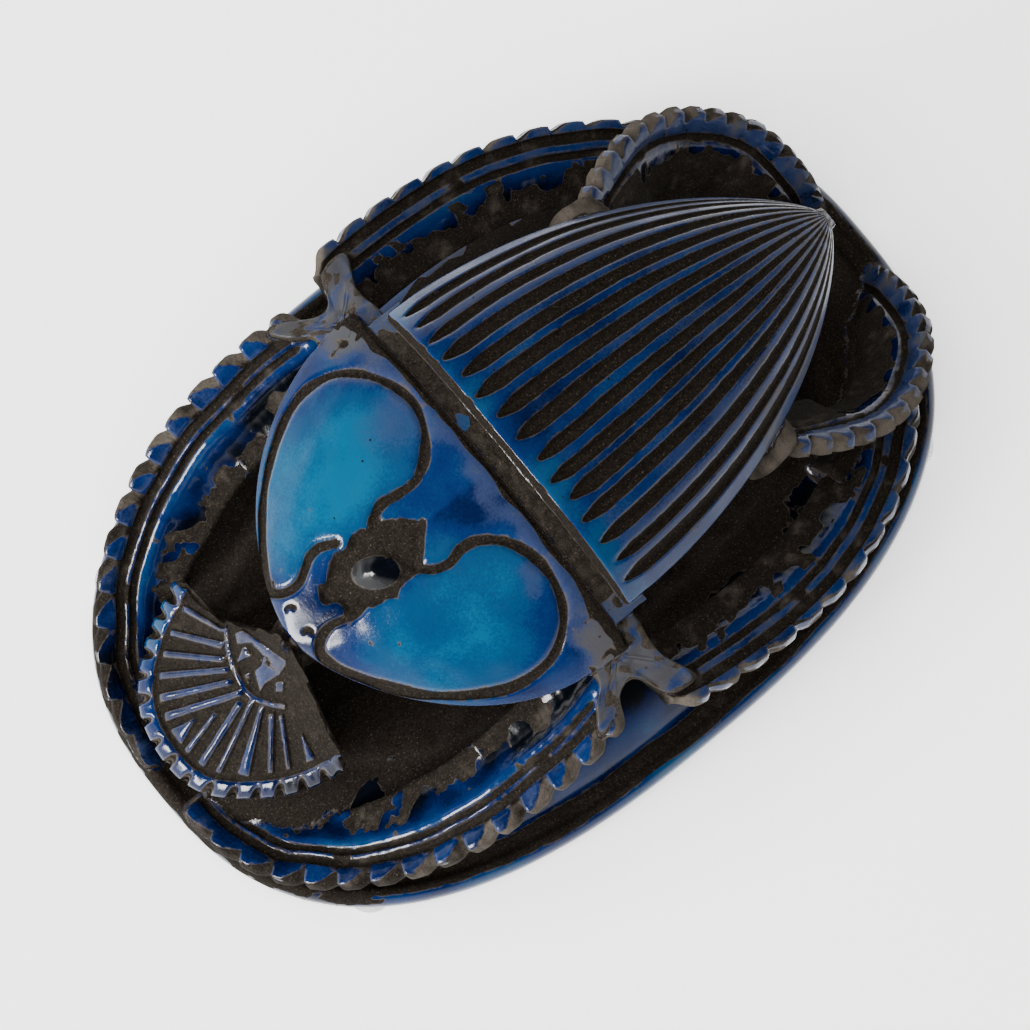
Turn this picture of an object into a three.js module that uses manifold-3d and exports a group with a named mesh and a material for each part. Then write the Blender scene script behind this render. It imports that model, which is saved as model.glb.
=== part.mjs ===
// Scarab ornament in glazed clay: an oval base, a ribbed back on openwork legs and a fan-shaped head.
// Millimetres, +X to the head, +Y to the beetle's left, +Z up, standing at z = 0 on four clear pads.
import * as THREE from 'three';
import { mergeVertices } from 'three/addons/utils/BufferGeometryUtils.js';
import Module from 'manifold-3d';

const wasm = await Module();
wasm.setup();

// Driving dimensions
const baseHalfLength = 90;
const baseHalfWidth = 60;
const baseSquareness = 2.5;
const padHeight = 2;
const padRadius = 4.9;
const padSides = 14;
const padX = 69.5;
const padY = 39.5;
const moundHeight = 22;
const baseSegments = 44;

const backFrontX = 2;
const tailX = -77;
const backTopZ = 88;
const backEdgeZ = 74;
const backHalfWidth = 35;
const bellyZ = 64;
const grooveCount = 15;
const grooveDepth = 1.5;

const plateRearX = 6;
const plateNeckX = 53;
const plateHalfWidth = 40.5;
const plateThickness = 11;
const recessDrop = 0.8;
const lineWidth = 1.8;
const lobeSteps = 19;
const eyeSteps = 12;

const headX = 53.5;
const headY = -1;
const headZ = 56.5;
const headSlope = 1.28;
const headCrown = 2.5;
const headThickness = 5.5;
const fanEdge = [
  [-74, 27], [-52, 29.4], [-27, 31.9], [-10, 32], [10, 31.2], [33, 27.5], [54, 25.4], [76, 24],
];
const fanPinch = 0.13;
const toothCount = 20;
const toothDepth = 1.4;
const barEvery = 3;
const barDepth = 1.2;

const webThickness = 4.5;
const bandThickness = 3.8;
const barSides = 8;
const scallopPitch = 7.6;
const scallopDepth = 1.6;
const hindPitch = 5.2;

const clayColour = 0x0a2f86;
const padColour = 0xdfe4e6;

const vec = (x, y, z) => new THREE.Vector3(x, y, z);
const lerp = THREE.MathUtils.lerp;
const degrees = THREE.MathUtils.degToRad;
const clamp01 = (t) => Math.min(1, Math.max(0, t));

// A closed geometry through a list of rings with equal point counts, its two ends closed flat
function loft(rings, section) {
  const positions = rings.flat().flatMap((p) => [p.x, p.y, p.z]);
  const count = rings[0].length;
  const index = [];
  for (let k = 0; k + 1 < rings.length; k += 1) {
    for (let m = 0; m < count; m += 1) {
      const n = (m + 1) % count;
      const a = k * count + m;
      const b = k * count + n;
      index.push(a, b, b + count, a, b + count, a + count);
    }
  }
  const contour = section ?? rings[0].map((p) => new THREE.Vector2(p.y, p.z));
  const last = (rings.length - 1) * count;
  for (const corners of THREE.ShapeUtils.triangulateShape(contour, [])) {
    const turn = THREE.ShapeUtils.area(corners.map((i) => contour[i]));
    const [a, b, c] = turn * THREE.ShapeUtils.area(contour) > 0 ? corners : [...corners].reverse();
    index.push(a, c, b, last + a, last + b, last + c);
  }
  const geometry = new THREE.BufferGeometry();
  geometry.setAttribute('position', new THREE.Float32BufferAttribute(positions, 3));
  geometry.setIndex(index);
  return geometry;
}

// A closed geometry of rings around one upright axis, with a centre point below and above
function dome(rings, low, high) {
  const positions = [...rings.flat(), low, high].flatMap((p) => [p.x, p.y, p.z]);
  const count = rings[0].length;
  const total = rings.length * count;
  const index = [];
  for (let m = 0; m < count; m += 1) {
    const n = (m + 1) % count;
    for (let k = 0; k + 1 < rings.length; k += 1) {
      const a = k * count + m;
      const b = k * count + n;
      index.push(a, b, b + count, a, b + count, a + count);
    }
    const top = total - count;
    index.push(total, n, m, total + 1, top + m, top + n);
  }
  const geometry = new THREE.BufferGeometry();
  geometry.setAttribute('position', new THREE.Float32BufferAttribute(positions, 3));
  geometry.setIndex(index);
  return geometry;
}

// The solid of a closed geometry, turned right side out
function solid(geometry) {
  const bare = geometry.clone();
  bare.deleteAttribute('normal');
  bare.deleteAttribute('uv');
  const merged = mergeVertices(bare, 1e-4);
  const vertProperties = new Float32Array(merged.attributes.position.array);
  const triVerts = new Uint32Array(merged.index.array);
  const made = new wasm.Manifold(new wasm.Mesh({ numProp: 3, vertProperties, triVerts }));
  if (made.volume() > 0) return made;
  for (let i = 0; i < triVerts.length; i += 3) {
    [triVerts[i + 1], triVerts[i + 2]] = [triVerts[i + 2], triVerts[i + 1]];
  }
  return new wasm.Manifold(new wasm.Mesh({ numProp: 3, vertProperties, triVerts }));
}

function toGeometry(made) {
  const mesh = made.getMesh();
  const geometry = new THREE.BufferGeometry();
  geometry.setAttribute('position', new THREE.BufferAttribute(mesh.vertProperties.slice(), 3));
  geometry.setIndex(new THREE.BufferAttribute(mesh.triVerts.slice(), 1));
  geometry.computeVertexNormals();
  return geometry;
}

// The same geometry on the beetle's other side
function mirrored(geometry) {
  return geometry.clone().scale(1, -1, 1);
}

// Oval base: a rounded rim, the groove that runs round it, the glazed shoulder and the rough mound
function baseGeometry() {
  const power = 2 / baseSquareness;
  const profile = [
    [3.2, padHeight], [0.8, 2.7], [0, 4.8], [1.4, 8.4], [3.4, 8.7], [5, 7], [6.6, 8.9],
    [13, 14.5], [20, 18.8], [27, moundHeight - 1],
  ];
  const rings = profile.map(([inset, z]) => {
    const ring = [];
    for (let i = 0; i < baseSegments; i += 1) {
      const angle = (2 * Math.PI * i) / baseSegments;
      const c = Math.cos(angle);
      const s = Math.sin(angle);
      const x = (baseHalfLength - inset) * Math.sign(c) * Math.abs(c) ** power;
      const y = (baseHalfWidth - inset) * Math.sign(s) * Math.abs(s) ** power;
      ring.push(vec(x, y, z));
    }
    return ring;
  });
  return dome(rings, vec(0, 0, padHeight), vec(0, 0, moundHeight + 0.8));
}

// Back and belly: a flat-topped arch, its grooves evenly spaced along the arch and run together at the tail
function backGeometry() {
  const stations = 12;
  const columns = 2 * (grooveCount + 1);
  const rings = [];
  for (let k = 0; k <= stations; k += 1) {
    const t = k === stations ? 1 : 0.995 * (k / stations) ** 0.9;
    const x = lerp(backFrontX, tailX, t);
    const half = backHalfWidth * Math.max(0.06, (1 - t ** 2) ** 0.75);
    const topZ = backTopZ - 29 * t ** 2 - 4 * t ** 10;
    const edgeZ = backEdgeZ - 20 * t ** 1.3;
    const floorZ = Math.min(edgeZ - 2.6, lerp(bellyZ, 52, t ** 2));
    const depth = k === 0 ? 0 : Math.min(grooveDepth, 0.045 * half + 0.25);
    const ring = [];
    for (let m = 0; m <= columns; m += 1) {
      const u = (2 * m) / columns - 1;
      const v = u * (1.142 - 0.142 * Math.abs(u) ** 2.7);
      const groove = m % 2 === 0 && m > 0 && m < columns ? depth : 0;
      ring.push(vec(x, half * v, lerp(edgeZ, topZ, 1 - Math.abs(v) ** 3.7) - groove));
    }
    const inner = half * 0.9;
    ring.push(vec(x, half, edgeZ - 2.2), vec(x, inner, edgeZ - 2.5), vec(x, inner * 0.86, floorZ));
    ring.push(vec(x, -inner * 0.86, floorZ), vec(x, -inner, edgeZ - 2.5), vec(x, -half, edgeZ - 2.2));
    rings.push(ring);
  }
  return loft(rings);
}

// Half width of the shield plate behind the head, at a distance along it
function plateHalf(x) {
  const t = clamp01((x - plateRearX) / (plateNeckX - plateRearX));
  return plateHalfWidth * (1 - t ** 2.2) ** 0.685;
}

function plateTop(x, y) {
  const t = clamp01((x - plateRearX) / (plateNeckX - plateRearX));
  const spine = 83 - 12 * t ** 1.4 - 10 * t ** 3;
  const rim = 68 - 8 * t;
  const v = clamp01(Math.abs(y) / Math.max(plateHalf(x), 1));
  return lerp(rim, spine, (1 - v ** 2.4) * (1 - 0.25 * t));
}

function plateGeometry() {
  const stations = 10;
  const columns = 14;
  const rings = [];
  for (let k = 0; k <= stations; k += 1) {
    const x = lerp(plateRearX, plateNeckX - 0.4, Math.sin((Math.PI / 2) * (k / stations)));
    const half = plateHalf(x);
    const ring = [];
    for (let m = 0; m <= columns; m += 1) {
      const y = half * Math.sin((Math.PI / 2) * ((2 * m) / columns - 1));
      ring.push(vec(x, y, plateTop(x, y)));
    }
    const low = plateTop(x, half) - plateThickness * (0.4 + 0.6 * (half / plateHalfWidth));
    ring.push(vec(x, half * 0.98, plateTop(x, half) - 3), vec(x, half * 0.8, low));
    ring.push(vec(x, -half * 0.8, low), vec(x, -half * 0.98, plateTop(x, half) - 3));
    rings.push(ring);
  }
  return loft(rings);
}

// The bare recess between the plate and the back: an arch just below the plate's rear edge
function recessGeometry() {
  const columns = 16;
  const half = backHalfWidth + 1;
  const ringAt = (x) => {
    const ring = [];
    for (let m = 0; m <= columns; m += 1) {
      const y = half * Math.sin((Math.PI / 2) * ((2 * m) / columns - 1));
      ring.push(vec(x, y, plateTop(plateRearX, y) - recessDrop));
    }
    const low = plateTop(plateRearX, half) - plateThickness;
    ring.push(vec(x, half * 0.9, low), vec(x, -half * 0.9, low));
    return ring;
  };
  return loft([ringAt(backFrontX - 4), ringAt(plateRearX + 4)]);
}

// The neck: a round bar of clay from the plate down into the head
function neckGeometry() {
  return barGeometry([[46, headY, 57.5, 6.5], [52, headY, 55, 6], [58, headY, 50, 5]]);
}

// Web at the plate's rear corner: a slanting sheet of clay that spreads to the front and middle legs
function cornerWebGeometry() {
  const outline = [
    [1.5, 31], [14.5, 31], [15, 38], [14.5, 42], [18, 45.5], [20, 49.5], [16.5, 49], [13, 46.2],
    [10.2, 44.8], [8.2, 45.4], [6.6, 48], [5, 51.5], [-1, 52], [2, 44], [1.5, 37],
  ];
  const topZ = (y) => lerp(69, 59.6, clamp01((y - 34) / 17));
  const at = (sink) => outline.map(([x, y]) => vec(x, y, topZ(y) - sink));
  return loft([at(0), at(webThickness)], outline.map(([x, y]) => new THREE.Vector2(x, y)));
}

// Incised line of the shield plate: a closed round-cornered lobe that ends at the central eye
function lobeCurve() {
  const points = [
    [25, 4], [21.5, 6.5], [17, 8.5], [13.5, 13], [12, 20], [13.5, 27], [18, 32.5], [25, 33.5],
    [33, 30], [41, 23.5], [47, 15], [49.5, 9], [46.5, 5.8], [42.5, 6.8], [40, 9.5], [37, 6.5],
  ];
  return new THREE.CatmullRomCurve3(points.map(([x, y]) => vec(x, y, plateTop(x, y))));
}

function eyeCurve() {
  const points = [];
  for (let i = 0; i < 8; i += 1) {
    const angle = (Math.PI * i) / 4;
    const reach = i % 4 === 0 ? 11.5 : 6.4;
    const x = 35.5 + reach * Math.cos(angle);
    const y = 6.6 * Math.sin(angle);
    points.push(vec(x, y, plateTop(x, y)));
  }
  return new THREE.CatmullRomCurve3(points, true);
}

function lineCutter(curve, steps) {
  const shape = new THREE.Shape();
  shape.moveTo(-lineWidth / 2, 0);
  shape.lineTo(0, -lineWidth / 2);
  shape.lineTo(lineWidth / 2, 0);
  shape.lineTo(0, lineWidth / 2);
  shape.closePath();
  return new THREE.ExtrudeGeometry(shape, { steps, extrudePath: curve, bevelEnabled: false });
}

// How far the fan's toothed edge lies from the neck, at an angle in degrees from straight ahead
function fanReach(angle) {
  const next = Math.max(1, fanEdge.findIndex(([at]) => at >= angle));
  const [a0, r0] = fanEdge[next - 1];
  const [a1, r1] = fanEdge[next];
  return lerp(r0, r1, (angle - a0) / (a1 - a0));
}

// Head: a fan with a toothed edge, bars that spread from a small half-round, and two sharp corners
function headGeometry() {
  const steps = 2 * toothCount;
  const first = fanEdge[0][0];
  const last = fanEdge[fanEdge.length - 1][0];
  const rings = [];
  for (let i = 0; i <= steps; i += 1) {
    const angle = lerp(first, last, i / steps);
    const reach = fanReach(Math.min(angle, last));
    const tooth = i % 2 === 0 ? toothDepth : 0;
    const bar = i % barEvery === 1 ? barDepth : 0;
    const pinch = angle < 0 ? fanPinch : 0;
    const place = (r, sink) => {
      const turned = degrees(angle) * (1 - pinch * Math.sin((Math.PI * r) / reach));
      const along = r * Math.cos(turned);
      const y = headY + r * Math.sin(turned);
      const crown = headCrown * (1 - (y / 25) ** 2);
      return vec(headX + along, y, headZ - headSlope * along + crown - sink);
    };
    const radii = [
      [1.5, 0], [9.4, 0], [11, bar], [reach - 5.4, bar], [reach - 4.4, barDepth],
      [reach - 3.3, 0], [reach - tooth, 0.6],
    ];
    const ring = radii.map(([r, sink]) => place(r, sink));
    ring.push(place(reach - tooth, headThickness * 0.8), place(1.5, headThickness));
    rings.push(ring);
  }
  const section = rings[0].map((p) => new THREE.Vector2(
    Math.hypot(p.x - headX, p.y - headY),
    p.z + headSlope * (p.x - headX),
  ));
  return loft(rings, section);
}

// A leg: a scalloped band swept along its outer edge, its section leaning down towards the inside
function bandGeometry({ points, width, lean, pitch, depth, taper, grooves }) {
  const curve = new THREE.CatmullRomCurve3(points.map(([x, y, z]) => vec(x, y, z)), false, 'centripetal');
  const scallops = Math.round(curve.getLength() / pitch);
  const steps = 2 * scallops;
  const rings = [];
  let section = null;
  for (let i = 0; i <= steps; i += 1) {
    const t = i / steps;
    const place = curve.getPointAt(t);
    const along = curve.getTangentAt(t);
    const inward = new THREE.Vector3().crossVectors(along, vec(0, 0, 1)).normalize();
    if (inward.x * place.x + inward.y * place.y > 0) inward.negate();
    const normal = new THREE.Vector3().crossVectors(along, inward).normalize();
    if (normal.z < 0) normal.negate();
    const tilt = lean(t);
    const across = inward.clone().multiplyScalar(Math.cos(tilt)).addScaledVector(normal, -Math.sin(tilt));
    const face = normal.clone().multiplyScalar(Math.cos(tilt)).addScaledVector(inward, Math.sin(tilt));
    const bite = i % 2 === 0 ? depth : 0;
    const wide = width * taper(t);
    const top = grooves
      ? [[bite, 0], [2.4, 0], [3.6, -1.3], [4.9, 0], [6.2, -1.1], [7.4, 0]]
      : [[bite, 0], [4, 0], [5.2, -1.1], [6.4, 0]];
    const flat = [...top, [wide, -0.6], [wide - 3, -bandThickness], [bite, -bandThickness]];
    rings.push(flat.map(([w, h]) => place.clone().addScaledVector(across, w).addScaledVector(face, h)));
    section = section ?? flat.map(([w, h]) => new THREE.Vector2(w, h));
  }
  return loft(rings, section);
}

const frontLeg = {
  points: [
    [13, 49.4, 62], [20, 50.6, 58.8], [28, 51.2, 54.4], [37, 51, 49.4], [46, 50, 44], [55, 47.8, 38],
    [64, 43.9, 32], [72, 38.7, 26.5],
    [78.5, 32.6, 21.5], [83.3, 26, 17.5], [86.2, 19, 14.5], [87.8, 12.5, 12.2], [88.2, 5, 10.5],
  ],
  width: 17,
  lean: () => degrees(20),
  pitch: scallopPitch,
  depth: scallopDepth,
  taper: (t) => lerp(1, 0.62, clamp01((t - 0.5) / 0.5)),
  grooves: true,
};
const middleLeg = {
  points: [
    [5, 55, 59.8], [-4, 56, 56], [-14, 56.6, 51.6], [-24, 56.4, 47.2], [-34, 55.4, 42.8], [-44, 53, 38.4],
    [-54, 49, 34], [-63, 43.6, 30], [-70, 38, 26.5], [-73.6, 34.6, 21], [-75.2, 33, 14], [-76, 32, 7.5],
  ],
  width: 16,
  lean: () => degrees(18),
  pitch: scallopPitch,
  depth: scallopDepth,
  taper: (t) => lerp(1, 0.75, clamp01((t - 0.6) / 0.4)),
  grooves: true,
};
const hindLeg = {
  points: [
    [-38, 27, 63], [-46, 32, 59.5], [-53.5, 35, 55], [-61, 36.5, 50.5], [-69, 35, 45], [-76, 31, 39.5],
    [-81.5, 25.5, 34], [-84.6, 18.5, 28], [-86.2, 12.5, 20.5], [-86.6, 8.5, 13], [-86.6, 6, 6.5],
  ],
  width: 17,
  lean: (t) => degrees(lerp(48, 20, clamp01((t - 0.45) / 0.5))),
  pitch: hindPitch,
  depth: 1.1,
  taper: (t) => lerp(1, 0.6, clamp01((t - 0.6) / 0.4)),
  grooves: false,
};

// A round bar of clay between points, each with its own radius
function barGeometry(points) {
  const rings = points.map(([x, y, z, r], k) => {
    const [x0, y0, z0] = points[Math.max(0, k - 1)];
    const [x1, y1, z1] = points[Math.min(points.length - 1, k + 1)];
    const along = vec(x1 - x0, y1 - y0, z1 - z0).normalize();
    const side = new THREE.Vector3().crossVectors(along, vec(0, 0, 1)).normalize();
    const other = new THREE.Vector3().crossVectors(side, along);
    const ring = [];
    for (let i = 0; i < barSides; i += 1) {
      const angle = (2 * Math.PI * i) / barSides;
      const sideways = side.clone().multiplyScalar(r * Math.cos(angle));
      ring.push(vec(x, y, z).add(sideways).addScaledVector(other, r * Math.sin(angle)));
    }
    return ring;
  });
  const round = rings[0].map((_, i) => new THREE.Vector2(
    Math.cos((2 * Math.PI * i) / barSides),
    Math.sin((2 * Math.PI * i) / barSides),
  ));
  return loft(rings, round);
}

const kneeBar = [[-36, 12, 62, 5], [-38, 22, 60, 6.2], [-39, 29, 57, 6.4]];

// Wall under the rear of the middle leg, from its inner edge down to the base
function webGeometry() {
  const rings = [];
  const steps = 6;
  for (let k = 0; k <= steps; k += 1) {
    const t = k / steps;
    const x = lerp(-50, -76, t);
    const y = lerp(37, 19, t ** 1.6);
    const top = lerp(31, 21, t);
    rings.push([vec(x, y + 2, top), vec(x, y - 2, top), vec(x + 2, y - 8, 14), vec(x + 2, y - 2, 14)]);
  }
  return loft(rings);
}

function scarabSolid() {
  const single = [backGeometry(), plateGeometry(), recessGeometry(), neckGeometry(), headGeometry()];
  const paired = [
    bandGeometry(frontLeg), bandGeometry(middleLeg), bandGeometry(hindLeg),
    cornerWebGeometry(), barGeometry(kneeBar), webGeometry(),
  ];
  let made = solid(baseGeometry());
  for (const geometry of single) made = made.add(solid(geometry));
  for (const geometry of paired) made = made.add(solid(geometry)).add(solid(mirrored(geometry)));
  const lobe = lineCutter(lobeCurve(), lobeSteps);
  for (const cutter of [lobe, mirrored(lobe)]) made = made.subtract(solid(cutter));
  return made.subtract(solid(lineCutter(eyeCurve(), eyeSteps)));
}

// Clear stick-on pad under the base: a low dome that stands on its flat round face
function padGeometry() {
  const profile = [
    [0, 0], [padRadius * 0.78, 0], [padRadius * 0.94, padHeight * 0.4],
    [padRadius, padHeight], [0, padHeight],
  ];
  const geometry = new THREE.LatheGeometry(profile.map(([r, z]) => new THREE.Vector2(r, z)), padSides);
  return geometry.rotateX(Math.PI / 2);
}

const group = new THREE.Group();
const clay = new THREE.MeshStandardMaterial({ color: clayColour, roughness: 0.22, metalness: 0 });
group.add(new THREE.Mesh(toGeometry(scarabSolid()), clay));
group.children[0].name = 'scarab';

const padSpots = { front_left: [1, 1], front_right: [1, -1], rear_left: [-1, 1], rear_right: [-1, -1] };
for (const [name, [alongSide, acrossSide]] of Object.entries(padSpots)) {
  const clear = new THREE.MeshStandardMaterial({ color: padColour, roughness: 0.3, metalness: 0 });
  const pad = new THREE.Mesh(padGeometry(), clear);
  pad.name = `pad_${name}`;
  pad.position.set(alongSide * padX, acrossSide * padY, 0);
  group.add(pad);
}

export default group;
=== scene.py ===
import math
import bpy
import bmesh
import numpy as np
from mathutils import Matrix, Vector
from mathutils.kdtree import KDTree


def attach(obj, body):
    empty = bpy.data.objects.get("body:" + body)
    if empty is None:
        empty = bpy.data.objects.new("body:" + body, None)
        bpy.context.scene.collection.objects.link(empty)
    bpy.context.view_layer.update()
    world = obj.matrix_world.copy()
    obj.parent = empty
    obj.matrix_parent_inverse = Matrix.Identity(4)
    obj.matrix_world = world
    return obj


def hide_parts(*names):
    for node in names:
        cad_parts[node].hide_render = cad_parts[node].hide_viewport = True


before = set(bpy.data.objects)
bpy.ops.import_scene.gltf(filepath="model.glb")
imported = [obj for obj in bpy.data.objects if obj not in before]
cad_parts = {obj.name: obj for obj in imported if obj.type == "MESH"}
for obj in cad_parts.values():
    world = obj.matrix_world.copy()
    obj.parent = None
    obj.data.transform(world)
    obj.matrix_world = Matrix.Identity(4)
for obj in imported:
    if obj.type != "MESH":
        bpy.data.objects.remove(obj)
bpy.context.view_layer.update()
scene = bpy.context.scene
mm = 0.001  # every shape below is worked out in millimetres and made in metres


def smoothStep(low, high, value):
    # 3 t^2 - 2 t^3 for the share t of the way from low to high
    t = np.clip((value - low) / (high - low), 0, 1)
    return t * t * (3 - 2 * t)


def mix(a, b, t):
    # the value a share t of the way from a to b
    return a + (b - a) * t


def grid(*coordinates):
    # one array of points out of coordinates that may vary along rows, columns, both or neither
    return np.stack(np.broadcast_arrays(*coordinates), axis=-1)


def unit(vectors):
    return vectors / np.linalg.norm(vectors, axis=1)[:, None]


def waves(points, size, seed, count=22):
    # soft noise from -1 to 1: the sum of plane waves about as long as size, in random directions
    rng = np.random.default_rng(seed)
    total = np.zeros(points.shape[:-1])
    for _ in range(count):
        direction = rng.normal(size=3)
        direction *= 2 * math.pi / (size * rng.uniform(0.7, 1.6)) / np.linalg.norm(direction)
        total += np.sin(points @ direction + rng.uniform(0, 2 * math.pi))
    return total / math.sqrt(count)


def scatter(place, seed):
    # a steady pseudo-random number from -1 to 1 for each whole number: sin wave far past its period
    return 2 * np.mod(np.sin(np.round(place) * 12.9898 + seed) * 43758.5453, 1) - 1


def ringFaces(rows, columns):
    # quads between neighbouring rings of equal point counts
    k, m = np.meshgrid(np.arange(rows - 1), np.arange(columns), indexing="ij")
    a = k * columns + m
    b = k * columns + (m + 1) % columns
    return np.stack([a, b, b + columns, a + columns], axis=-1).reshape(-1, 4)


def makeObject(name, points, faces, marks):
    # points in millimetres, faces as lists, marks as one value for each point
    mesh = bpy.data.meshes.new(name)
    mesh.from_pydata((points * mm).tolist(), [], faces)
    for key, values in marks.items():
        field = mesh.attributes.new(key, "FLOAT", "POINT")
        field.data.foreach_set("value", values.ravel().astype(np.float32))
    work = bmesh.new()
    work.from_mesh(mesh)
    bmesh.ops.remove_doubles(work, verts=work.verts, dist=1e-6)
    bmesh.ops.recalc_face_normals(work, faces=work.faces)
    if work.calc_volume(signed=True) < 0:
        bmesh.ops.reverse_faces(work, faces=work.faces)
    work.to_mesh(mesh)
    work.free()
    made = bpy.data.objects.new(name, mesh)
    scene.collection.objects.link(made)
    return made


def loft(name, rings, bare, tone, filmAndSheen, dust):
    # rings: one array of rows by columns by 3, closed round each row and capped at both ends;
    # bare: millimetres past the edge of the glaze, tone: glaze hue, filmAndSheen: grey bloom of thin glaze
    # and painted sheen where slopes would mirror the pale walls, dust: pale clay
    rows, columns = rings.shape[:2]
    faces = ringFaces(rows, columns).tolist()
    faces.append(list(range(columns))[::-1])
    faces.append([(rows - 1) * columns + m for m in range(columns)])
    marks = {key: np.broadcast_to(value, (rows, columns)) for key, value in (
        ("bare", bare), ("tone", tone), ("filmAndSheen", filmAndSheen), ("dust", dust))}
    return makeObject(name, rings.reshape(-1, 3), faces, marks)


def underside(x, sides, middle=0.0):
    # lower points of each ring: half widths and heights down one side, then up the other
    return [grid(x, middle + y, z) for y, z in sides] + [grid(x, middle - y, z) for y, z in sides[::-1]]


def bothSides(values):
    # one value for each of the underside's points, given down one side
    return np.array(values + values[::-1])[None]


def curveThrough(points, count, closed=False):
    # centripetal Catmull-Rom curve, cut into equal lengths
    knots = [np.array(p, float) for p in points]
    if closed:
        knots = [knots[-1]] + knots + [knots[0], knots[1]]
    else:
        knots = [2 * knots[0] - knots[1]] + knots + [2 * knots[-1] - knots[-2]]
    fine = []
    for p0, p1, p2, p3 in zip(knots, knots[1:], knots[2:], knots[3:]):
        steps = [max(np.linalg.norm(b - a) ** 0.5, 1e-4) for a, b in ((p0, p1), (p1, p2), (p2, p3))]
        times = np.cumsum([0] + steps)
        t = np.linspace(times[1], times[2], 24, endpoint=False)[:, None]
        a1 = mix(p0, p1, (t - times[0]) / (times[1] - times[0]))
        a2 = mix(p1, p2, (t - times[1]) / (times[2] - times[1]))
        a3 = mix(p2, p3, (t - times[2]) / (times[3] - times[2]))
        b1 = mix(a1, a2, (t - times[0]) / (times[2] - times[0]))
        b2 = mix(a2, a3, (t - times[1]) / (times[3] - times[1]))
        fine.append(mix(b1, b2, (t - times[1]) / (times[2] - times[1])))
    fine = np.vstack(fine + [knots[-2][None]])
    run = np.concatenate([[0], np.cumsum(np.linalg.norm(np.diff(fine, axis=0), axis=1))])
    even = np.linspace(0, run[-1], count)
    return np.stack([np.interp(even, run, fine[:, i]) for i in range(fine.shape[1])], axis=-1), run[-1]


def distanceTo(points, line):
    # how far each plan point lies from the nearest point of a line cut into short steps
    nearest = np.full(points.shape[:-1], np.inf)
    for part in np.array_split(line[:, :2], 1 + len(line) // 60):
        gaps = np.linalg.norm(points[..., None, :2] - part, axis=-1)
        nearest = np.minimum(nearest, gaps.min(axis=-1))
    return nearest


def insideOutline(points, outline):
    # even-odd test of plan points against a closed outline
    x, y = points[..., 0], points[..., 1]
    inside = np.zeros(x.shape, bool)
    for (x0, y0), (x1, y1) in zip(outline, np.roll(outline, -1, axis=0)):
        crosses = (y0 > y) != (y1 > y)
        at = x0 + (y - y0) / (y1 - y0 + 1e-12) * (x1 - x0)
        inside ^= crosses & (x < at)
    return inside


def intoOutline(points, corners, smooth):
    # millimetres inside a closed outline, negative outside it
    if smooth:
        line = curveThrough(corners, 500, closed=True)[0]
    else:
        loop = np.array(corners + corners[:1], float)
        line = np.vstack([mix(a, b, np.linspace(0, 1, 60)[:, None]) for a, b in zip(loop, loop[1:])])
    return distanceTo(points, line) * np.where(insideOutline(points, line), 1, -1)


base = {
    "halfLength": 90.0, "halfWidth": 60.0, "squareness": 2.5,
    "grooveAt": 4.3, "grooveHalf": 2.5, "glazedTo": 18.5, "around": 320,
    "moundFrom": 24.0, "moundTo": 58, "moundStep": 3, "moundZ": 22.8, "moundEnd": -52.0, "endZ": 17.5,
    # inset from the edge and height: foot, rim, groove, glazed shoulder, clay mound
    "profile": [
        (45, 2), (3.2, 2), (1.6, 2.2), (0.8, 2.7), (0.25, 3.6), (0, 4.8), (0.2, 6.2), (0.7, 7.4),
        (1.4, 8.2), (2.2, 8.6), (2.9, 8.5), (3.4, 8.0), (3.8, 7.2), (4.6, 6.8), (5.8, 6.8), (6.4, 7.2),
        (6.9, 8.3), (7.6, 9.3), (9, 10.9), (11, 12.8), (13, 14.5), (15.5, 16.3), (18, 17.8), (20, 18.8),
        (22, 19.4), (24, 19.7), (25.2, 20), (26, 21.2), (27, 22), (28.5, 22.4), (31, 22.6), (34, 22.7)],
}


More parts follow.
